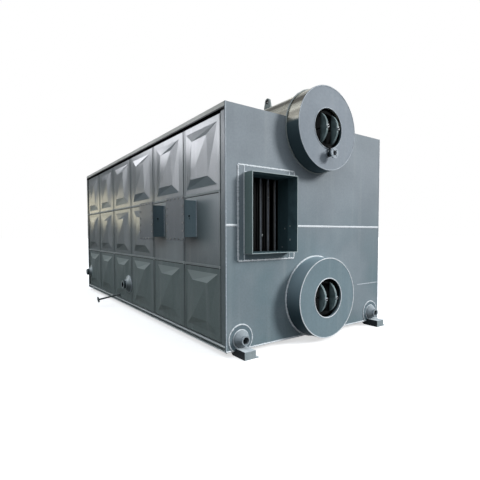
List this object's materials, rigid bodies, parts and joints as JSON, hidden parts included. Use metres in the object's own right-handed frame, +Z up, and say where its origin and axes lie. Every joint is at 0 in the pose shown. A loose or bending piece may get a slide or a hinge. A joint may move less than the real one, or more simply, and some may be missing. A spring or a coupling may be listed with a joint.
{
  "type": "two-drum water-tube boiler body",
  "caption": "Rectangular steel boiler body with pressed side panels, an upper and a lower drum in insulated collars, a flue outlet, access boxes and feet.",
  "frame": {"origin": "on the floor, under the middle of the body", "axes": "+X across the body, to the right seen from the front; +Y along the drums to the rear; +Z up"},
  "size_m": [3.9172, 7.41, 3.6658],
  "materials": {
    "plate": "satin grey paint over welded plate",
    "panel": "semi-gloss grey paint on pressed sheet",
    "collar": "satin grey paint over sheeting",
    "frame": "dull dark grey paint",
    "foot": "dull grey paint",
    "duct": "dull grey-green paint",
    "box": "dull slate paint",
    "fitting": "satin grey paint",
    "yoke": "satin grey paint",
    "tube": "dull primer",
    "pressure_steel": "dark primer",
    "lining": "dark dull inner sheeting",
    "cladding": "bright plain sheet"
  },
  "bodies": {
    "root": {"front_plate": "plate", "rear_plate": "plate", "front_lining": "lining", "rear_lining": "lining", "floor_sheet": "plate", "left_roof_sheet": "plate", "right_roof_sheet": "plate", "left_base_channel": "frame", "right_base_channel": "frame", "left_frame": "frame", "right_frame": "frame", "left_top_panels": "panel", "left_middle_panels": "panel", "left_plain_panels": "panel", "left_lower_panels": "panel", "right_top_panels": "panel", "right_middle_panels": "panel", "right_plain_panels": "panel", "right_lower_panels": "panel", "upper_drum": "pressure_steel", "lower_drum": "pressure_steel", "drum_cladding": "cladding", "lifting_lugs": "plate", "front_upper_collar": "collar", "front_lower_collar": "collar", "rear_upper_collar": "collar", "rear_lower_collar": "collar", "manhole_covers": "pressure_steel", "manhole_yokes": "yoke", "manhole_nuts": "yoke", "drum_vents": "fitting", "left_header": "fitting", "right_header": "fitting", "header_rings": "plate", "front_left_foot": "foot", "front_right_foot": "foot", "rear_left_foot": "foot", "rear_right_foot": "foot", "flue_frame": "plate", "flue_duct": "duct", "convection_tubes": "tube", "access_boxes": "box", "access_covers": "panel", "side_nozzles": "fitting", "drain_pipes": "fitting"}
  },
  "joints": []
}
